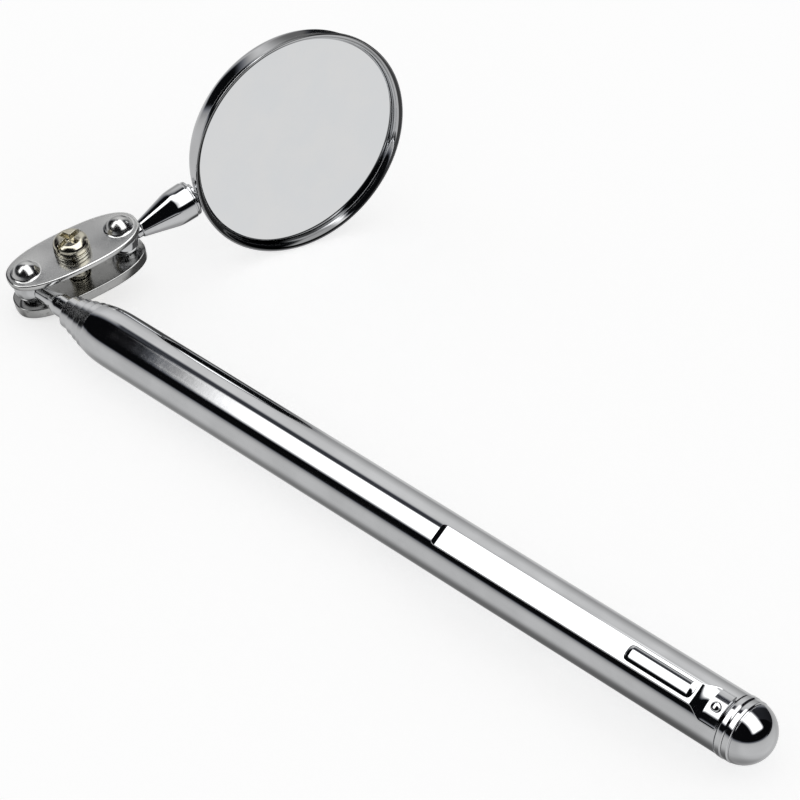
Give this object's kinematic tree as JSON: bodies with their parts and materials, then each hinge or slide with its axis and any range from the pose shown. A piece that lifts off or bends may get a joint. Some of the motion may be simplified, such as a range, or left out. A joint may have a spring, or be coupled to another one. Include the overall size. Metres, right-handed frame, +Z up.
{
  "type": "telescopic inspection mirror",
  "caption": "Pen-style telescopic inspection mirror: chrome barrel with pocket clip, nested sliding tubes, screw-clamped double ball joint and a round framed mirror.",
  "frame": {"origin": "middle of the underside of the bounding box, with every stage pushed in and the joints at rest", "axes": "+X along the handle from the ball joint to the domed end cap, +Z up with the tool lying down, the edge of the mirror case on the ground, +Y to the side the mirror stands on"},
  "size_m": [0.1326, 0.06, 0.0339],
  "materials": {
    "barrel_chrome": "polished chrome plate, faint lengthwise handling marks",
    "ring_chrome": "polished chrome plate",
    "cap_chrome": "polished chrome plate",
    "clip_chrome": "polished chrome plate on spring steel",
    "rivet_chrome": "polished chrome plate",
    "tube_chrome": "polished chrome plate on thin brass tube",
    "bush_brass": "plain drawn brass",
    "rod_steel": "polished plated rod",
    "ball_chrome": "polished plated ball",
    "plate_chrome": "chrome plate on stamped steel, slightly hazy",
    "screw_nickel": "warm nickel or zinc plate, bright on the raised edges",
    "washer_nickel": "nickel plated spring steel",
    "nut_nickel": "nickel plated steel",
    "stem_chrome": "polished chrome plate",
    "case_chrome": "polished chrome plate on spun steel",
    "mirror_glass": "back-silvered float glass with a ground bevel",
    "backing_card": "plain grey-brown card"
  },
  "bodies": {
    "handle": {"barrel": "barrel_chrome", "clip_ring": "ring_chrome", "end_cap": "cap_chrome"},
    "clip": {"pocket_clip": "clip_chrome", "clip_rivet": "rivet_chrome"},
    "stage_1": {"tube_1": "tube_chrome", "friction_bush_1": "bush_brass"},
    "stage_2": {"tube_2": "tube_chrome", "friction_bush_2": "bush_brass"},
    "stage_3": {"tube_3": "tube_chrome", "friction_bush_3": "bush_brass"},
    "stage_4": {"tube_4": "tube_chrome", "friction_bush_4": "bush_brass"},
    "rod_bush": {"friction_bush_5": "bush_brass"},
    "rod": {"mast_rod": "rod_steel"},
    "ball_1": {"handle_ball": "ball_chrome"},
    "clamp": {"clamp_plate_top": "plate_chrome", "clamp_plate_bottom": "plate_chrome", "clamp_nut": "nut_nickel"},
    "washer": {"lock_washer": "washer_nickel"},
    "screw": {"clamp_screw": "screw_nickel"},
    "ball_2": {"mirror_ball": "ball_chrome"},
    "shank": {"stem_shank": "stem_chrome"},
    "mirror_head": {"mirror_stem": "stem_chrome", "mirror_case": "case_chrome", "mirror_glass": "mirror_glass", "mirror_backing": "backing_card"}
  },
  "joints": [
    {"name": "clip_flex", "type": "hinge", "parent": "handle", "child": "clip", "pos_m": [0.0598, -0.02818, 0.00795], "axis": [0, 0.8141, 0.5807], "range_deg": [0, 5], "stiffness_Nm_per_rad": 0.6},
    {"name": "stage_1_slide", "type": "slide", "parent": "handle", "child": "stage_1", "axis": [-1, 0, 0], "range_m": [0, 0.088]},
    {"name": "stage_2_slide", "type": "slide", "parent": "stage_1", "child": "stage_2", "axis": [-1, 0, 0], "range_m": [0, 0.088]},
    {"name": "stage_3_slide", "type": "slide", "parent": "stage_2", "child": "stage_3", "axis": [-1, 0, 0], "range_m": [0, 0.088]},
    {"name": "stage_4_slide", "type": "slide", "parent": "stage_3", "child": "stage_4", "axis": [-1, 0, 0], "range_m": [0, 0.088]},
    {"name": "rod_slide", "type": "slide", "parent": "stage_4", "child": "rod_bush", "axis": [-1, 0, 0], "range_m": [0, 0.088]},
    {"name": "rod_turn", "type": "hinge", "parent": "rod_bush", "child": "rod", "pos_m": [-0.0631, -0.02557, 0.00428], "axis": [1, 0, 0], "continuous": true},
    {"name": "ball_1_pitch", "type": "hinge", "parent": "rod", "child": "ball_1", "pos_m": [-0.0631, -0.02557, 0.00428], "axis": [0, 0.9655, 0.2605], "range_deg": [-7, 7]},
    {"name": "ball_1_swing", "type": "hinge", "parent": "ball_1", "child": "clamp", "pos_m": [-0.0631, -0.02557, 0.00428], "axis": [0, -0.2605, 0.9655], "range_deg": [-15, 231]},
    {"name": "ball_2_swing", "type": "hinge", "parent": "clamp", "child": "ball_2", "pos_m": [-0.05862, -0.01226, 0.00787], "axis": [0, 0.2605, -0.9655], "range_deg": [-102, 77]},
    {"name": "ball_2_pitch", "type": "hinge", "parent": "ball_2", "child": "shank", "pos_m": [-0.05862, -0.01226, 0.00787], "axis": [0.9729, -0.2234, -0.0603], "range_deg": [-10, 4]},
    {"name": "mirror_roll", "type": "hinge", "parent": "shank", "child": "mirror_head", "pos_m": [-0.05862, -0.01226, 0.00787], "axis": [0.231, 0.9219, 0.3109], "continuous": true},
    {"name": "screw_lift", "type": "slide", "parent": "clamp", "child": "washer", "axis": [0, -0.2605, 0.9655], "range_m": [0, 0.001]},
    {"name": "screw_turn", "type": "hinge", "parent": "washer", "child": "screw", "pos_m": [-0.06086, -0.01891, 0.00608], "axis": [0, -0.2605, 0.9655], "range_deg": [0, 730]}
  ],
  "couplings": [
    {"joint": "screw_turn", "follows": "screw_lift", "rad_per_m": 12566}
  ]
}
